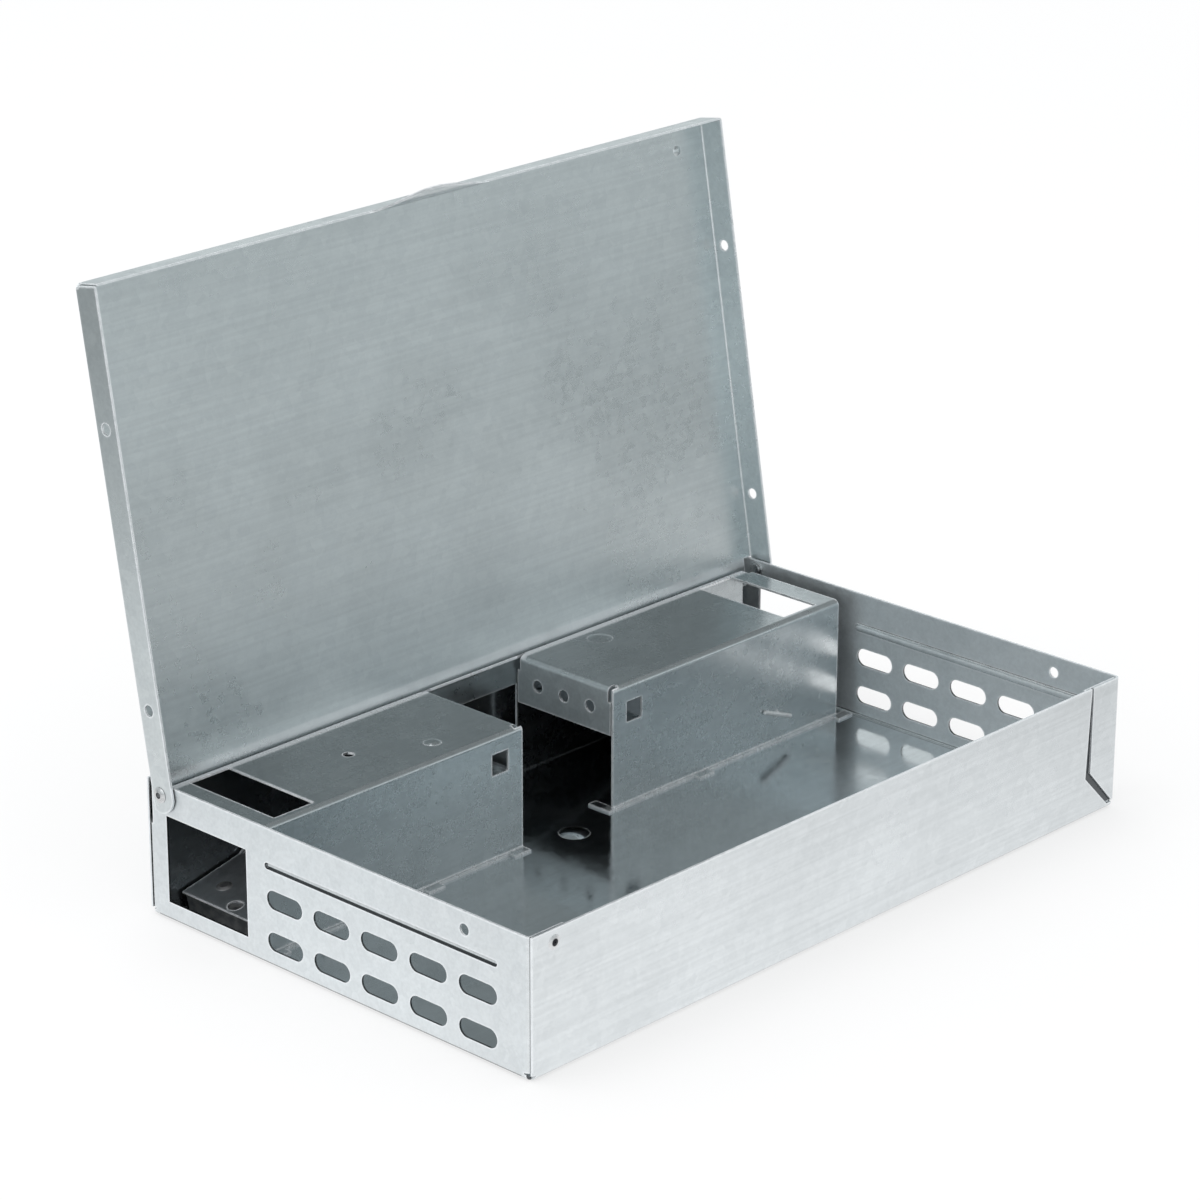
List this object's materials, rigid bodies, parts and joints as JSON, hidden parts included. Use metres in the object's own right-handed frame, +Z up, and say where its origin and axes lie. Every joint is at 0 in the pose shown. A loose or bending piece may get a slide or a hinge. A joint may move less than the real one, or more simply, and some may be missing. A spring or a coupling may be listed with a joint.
{
  "type": "multi-catch mouse trap",
  "caption": "Low folded sheet-steel live-capture trap: open tray with vented ends, entrance holes, a hinged lid and a tunnel cover with see-saw ramps.",
  "frame": {"origin": "middle of the tray's flat underside, on the surface that the trap stands on", "axes": "+X along the tray's length towards the right end wall, +Y towards the hinge side, +Z up"},
  "size_m": [0.2686, 0.1825, 0.1968],
  "materials": {
    "tray_sheet": "galvanised sheet, fine spangle, semi-gloss",
    "lid_sheet": "galvanised sheet, fine spangle, semi-gloss",
    "cover_sheet": "galvanised sheet, fine spangle, semi-gloss",
    "ramp_sheet": "thin galvanised sheet, semi-gloss",
    "rivet_steel": "zinc-plated, satin",
    "pin_steel": "zinc-plated, satin",
    "spring_steel": "dark spring steel, satin",
    "bar_steel": "plain mild steel bar, matt"
  },
  "bodies": {
    "housing": {"tray": "tray_sheet", "corner_rivets": "rivet_steel", "tunnel_cover": "cover_sheet", "left_hinge_rivet": "rivet_steel", "right_hinge_rivet": "rivet_steel", "left_hinge_washer": "rivet_steel", "right_hinge_washer": "rivet_steel", "left_ramp_axle": "pin_steel", "right_ramp_axle": "pin_steel", "left_axle_clip": "spring_steel", "right_axle_clip": "spring_steel"},
    "lid": {"lid": "lid_sheet"},
    "left_see_saw": {"left_ramp": "ramp_sheet", "left_counterweight": "bar_steel", "left_weight_rivets": "rivet_steel"},
    "right_see_saw": {"right_ramp": "ramp_sheet", "right_counterweight": "bar_steel", "right_weight_rivets": "rivet_steel"}
  },
  "joints": [
    {"name": "lid_hinge", "type": "hinge", "parent": "housing", "child": "lid", "pos_m": [0, 0.0724, 0.0409], "axis": [1, 0, 0], "range_deg": [0, 99.7]},
    {"name": "left_ramp_hinge", "type": "hinge", "parent": "housing", "child": "left_see_saw", "pos_m": [-0.1008, 0.05276, 0.0106], "axis": [0, 1, 0], "range_deg": [0, 20.6]},
    {"name": "right_ramp_hinge", "type": "hinge", "parent": "housing", "child": "right_see_saw", "pos_m": [0.0955, 0.05276, 0.0106], "axis": [0, -1, 0], "range_deg": [0, 20.6]}
  ]
}
